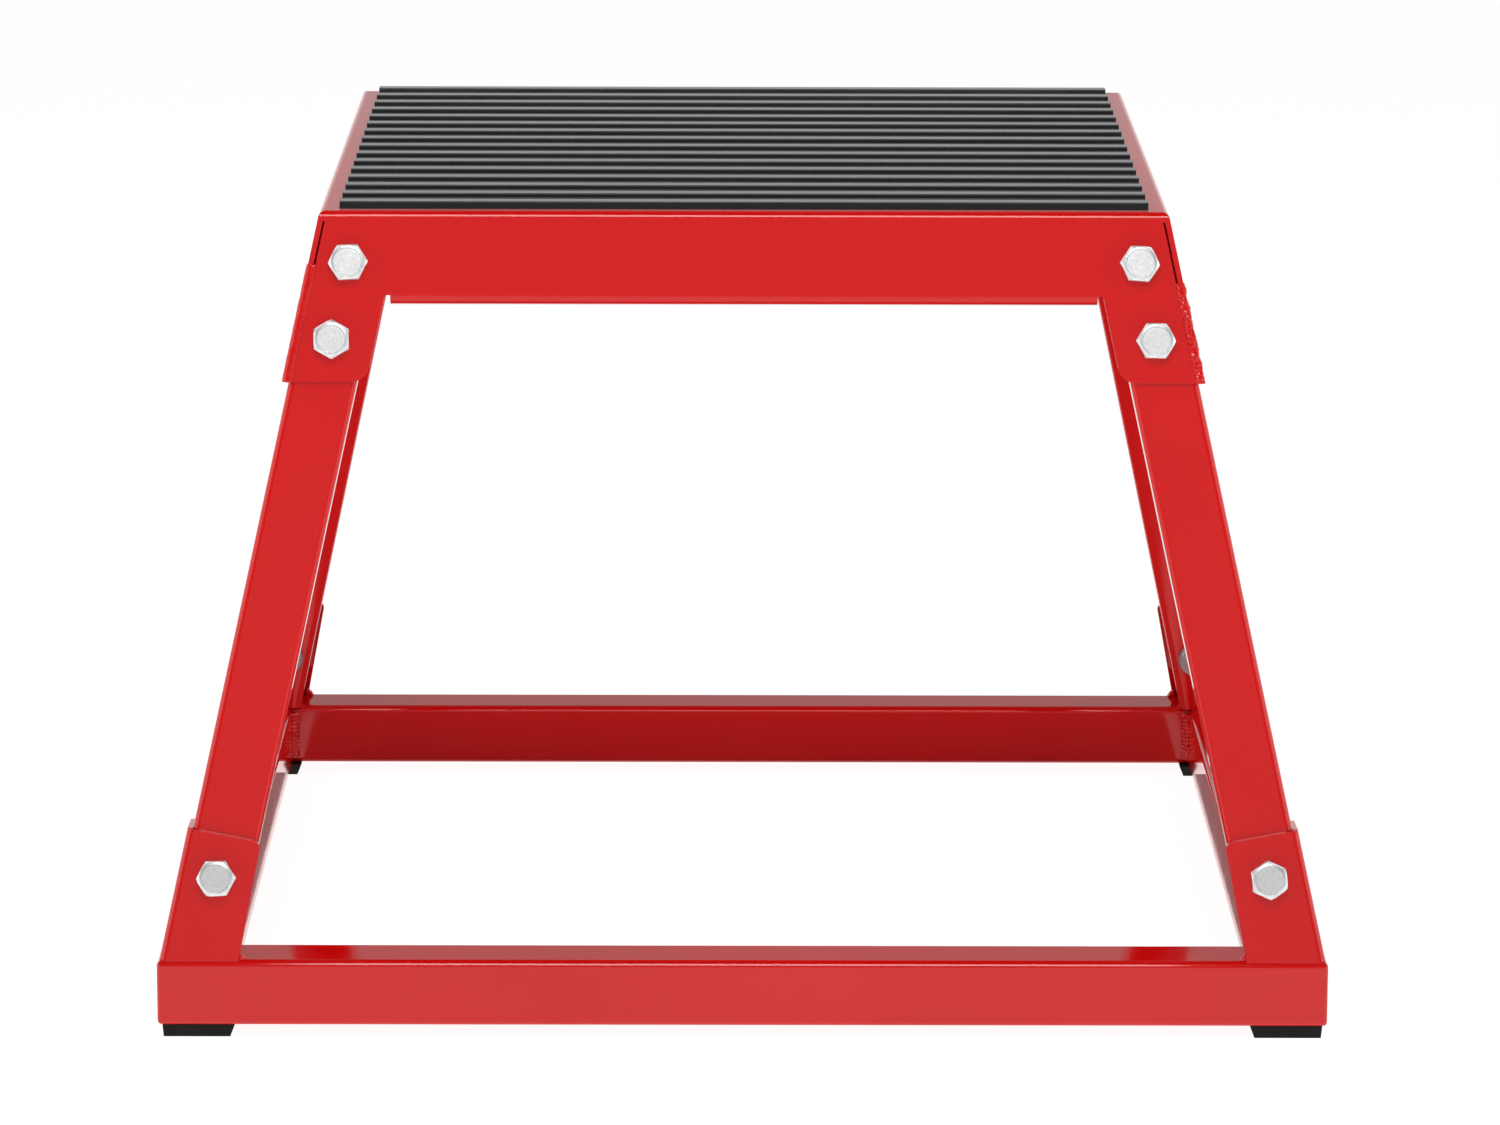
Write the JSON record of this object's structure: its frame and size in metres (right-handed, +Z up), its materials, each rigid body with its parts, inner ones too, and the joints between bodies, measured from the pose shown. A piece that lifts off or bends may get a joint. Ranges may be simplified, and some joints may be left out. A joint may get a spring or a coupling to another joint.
{
  "type": "plyometric jump platform",
  "caption": "Low four-legged steel jump platform with a square tube base frame, inward-leaning bolted legs, a folded sheet top and a ribbed rubber mat, for box jumps and step-ups.",
  "frame": {"origin": "on the floor, under the centre of the square base frame", "axes": "+Z up, ribs of the mat along X, front face towards -Y"},
  "size_m": [0.436, 0.436, 0.3048],
  "materials": {
    "red_powder_coat": "glossy powder coat with slight orange peel",
    "zinc_plate": "bright zinc plating",
    "mat_rubber": "semi-matt moulded rubber",
    "foot_rubber": "matt moulded rubber"
  },
  "bodies": {
    "root": {"front_rail": "red_powder_coat", "right_rail": "red_powder_coat", "rear_rail": "red_powder_coat", "left_rail": "red_powder_coat", "foot_front_left": "foot_rubber", "frame_weld_front_left": "red_powder_coat", "leg_front_left": "red_powder_coat", "bracket_front_left": "red_powder_coat", "bracket_weld_front_left": "red_powder_coat", "pan_weld_front_left": "red_powder_coat", "bolts_front_left": "zinc_plate", "nuts_front_left": "zinc_plate", "washers_front_left": "zinc_plate", "lock_washers_front_left": "zinc_plate", "foot_front_right": "foot_rubber", "frame_weld_front_right": "red_powder_coat", "leg_front_right": "red_powder_coat", "bracket_front_right": "red_powder_coat", "bracket_weld_front_right": "red_powder_coat", "pan_weld_front_right": "red_powder_coat", "bolts_front_right": "zinc_plate", "nuts_front_right": "zinc_plate", "washers_front_right": "zinc_plate", "lock_washers_front_right": "zinc_plate", "foot_rear_left": "foot_rubber", "frame_weld_rear_left": "red_powder_coat", "leg_rear_left": "red_powder_coat", "bracket_rear_left": "red_powder_coat", "bracket_weld_rear_left": "red_powder_coat", "pan_weld_rear_left": "red_powder_coat", "bolts_rear_left": "zinc_plate", "nuts_rear_left": "zinc_plate", "washers_rear_left": "zinc_plate", "lock_washers_rear_left": "zinc_plate", "foot_rear_right": "foot_rubber", "frame_weld_rear_right": "red_powder_coat", "leg_rear_right": "red_powder_coat", "bracket_rear_right": "red_powder_coat", "bracket_weld_rear_right": "red_powder_coat", "pan_weld_rear_right": "red_powder_coat", "bolts_rear_right": "zinc_plate", "nuts_rear_right": "zinc_plate", "washers_rear_right": "zinc_plate", "lock_washers_rear_right": "zinc_plate", "top_pan": "red_powder_coat", "top_mat": "mat_rubber"}
  },
  "joints": []
}
